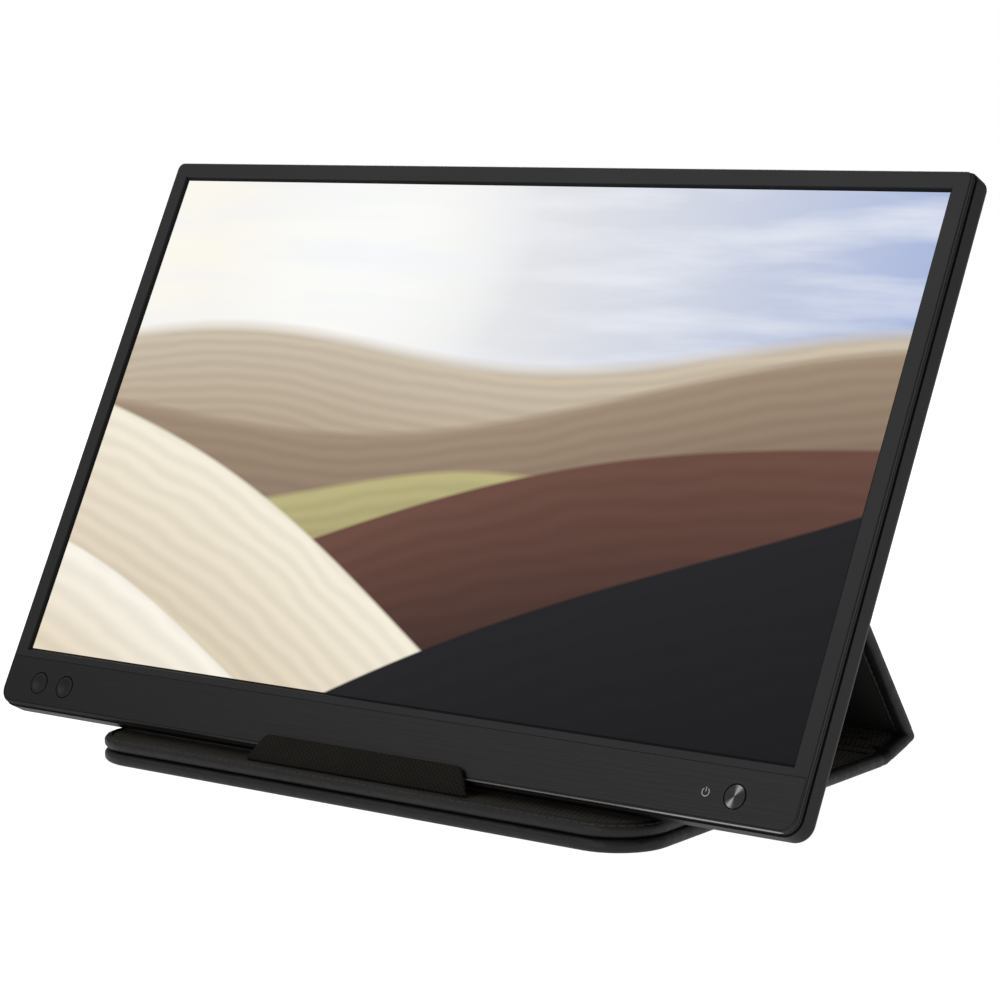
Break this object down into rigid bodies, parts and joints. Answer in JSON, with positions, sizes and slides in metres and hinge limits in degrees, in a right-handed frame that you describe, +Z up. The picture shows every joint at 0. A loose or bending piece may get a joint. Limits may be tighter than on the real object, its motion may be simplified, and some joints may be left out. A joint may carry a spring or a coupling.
{
  "type": "portable monitor with cover",
  "caption": "Slim dark portable monitor leaning in its folding leather cover, with a lit screen, brushed chin strip, press buttons, a stop tab and a hinged prop leaf",
  "frame": {"origin": "centre of the base leaf's flat underside on the table", "axes": "+X to the viewer's right along the screen's width, +Y back towards the prop leaf, +Z up from the table"},
  "size_m": [0.36, 0.1952, 0.2138],
  "materials": {
    "housing_plastic": null,
    "bezel_plastic": null,
    "brushed_plastic": null,
    "button_metal": null,
    "button_plastic": null,
    "screen_glass": null,
    "clear_film": null,
    "circuit_board": null,
    "sheet_steel": null,
    "switch_plastic": null,
    "cable_plastic": null,
    "cover_leather": null,
    "cover_lining": null,
    "stiff_board": null
  },
  "bodies": {
    "base": {"base_skin": "cover_leather", "base_board": "stiff_board", "base_lining": "cover_lining", "shelf_skin": "cover_leather", "shelf_board": "stiff_board", "shelf_lining": "cover_lining", "base_crease": "cover_leather"},
    "spine": {"spine_skin": "cover_leather", "spine_board": "stiff_board", "spine_lining": "cover_lining", "rear_crease": "cover_leather"},
    "prop": {"prop_skin": "cover_leather", "prop_board": "stiff_board", "prop_lining": "cover_lining", "prop_magnets": "sheet_steel"},
    "tab": {"stop_tab": "cover_lining"},
    "monitor": {"rear_housing": "housing_plastic", "front_bezel": "bezel_plastic", "chin_strip": "brushed_plastic", "panel_glass": "screen_glass", "optical_films": "clear_film", "light_guide": "clear_film", "reflector_sheet": "clear_film", "led_bar": "circuit_board", "panel_tray": "sheet_steel", "driver_board": "circuit_board", "main_board": "circuit_board", "board_shield": "sheet_steel", "board_screws": "sheet_steel", "usb_socket": "sheet_steel", "display_ribbon": "cable_plastic", "menu_key_board": "circuit_board", "power_key_board": "circuit_board", "key_switches": "switch_plastic", "key_cable": "cable_plastic", "catch_plate": "sheet_steel"},
    "power_button_body": {"power_button": "button_metal"},
    "menu_outer_body": {"menu_button_outer": "button_plastic"},
    "menu_inner_body": {"menu_button_inner": "button_plastic"}
  },
  "joints": [
    {"name": "spine_fold", "type": "hinge", "parent": "base", "child": "spine", "pos_m": [0, 0.08805, 0.0023], "axis": [-1, 0, 0], "range_deg": [0, 19.5]},
    {"name": "prop_fold", "type": "hinge", "parent": "spine", "child": "prop", "pos_m": [0, 0.10483, 0.00824], "axis": [-1, 0, 0], "range_deg": [0, 105.5]},
    {"name": "tab_fold", "type": "hinge", "parent": "base", "child": "tab", "pos_m": [0.0031, -0.08216, 0.0101], "axis": [1, 0, 0], "range_deg": [0, 100]},
    {"name": "monitor_lift", "type": "slide", "parent": "base", "child": "monitor", "axis": [0, 0.4431, 0.8965], "range_m": [0, 0.18]},
    {"name": "power_press", "type": "slide", "parent": "monitor", "child": "power_button_body", "axis": [0, 0.8965, -0.4431], "range_m": [0, 0.0006], "stiffness_N_per_m": 900},
    {"name": "menu_outer_press", "type": "slide", "parent": "monitor", "child": "menu_outer_body", "axis": [0, 0.8965, -0.4431], "range_m": [0, 0.0006], "stiffness_N_per_m": 900},
    {"name": "menu_inner_press", "type": "slide", "parent": "monitor", "child": "menu_inner_body", "axis": [0, 0.8965, -0.4431], "range_m": [0, 0.0006], "stiffness_N_per_m": 900}
  ]
}
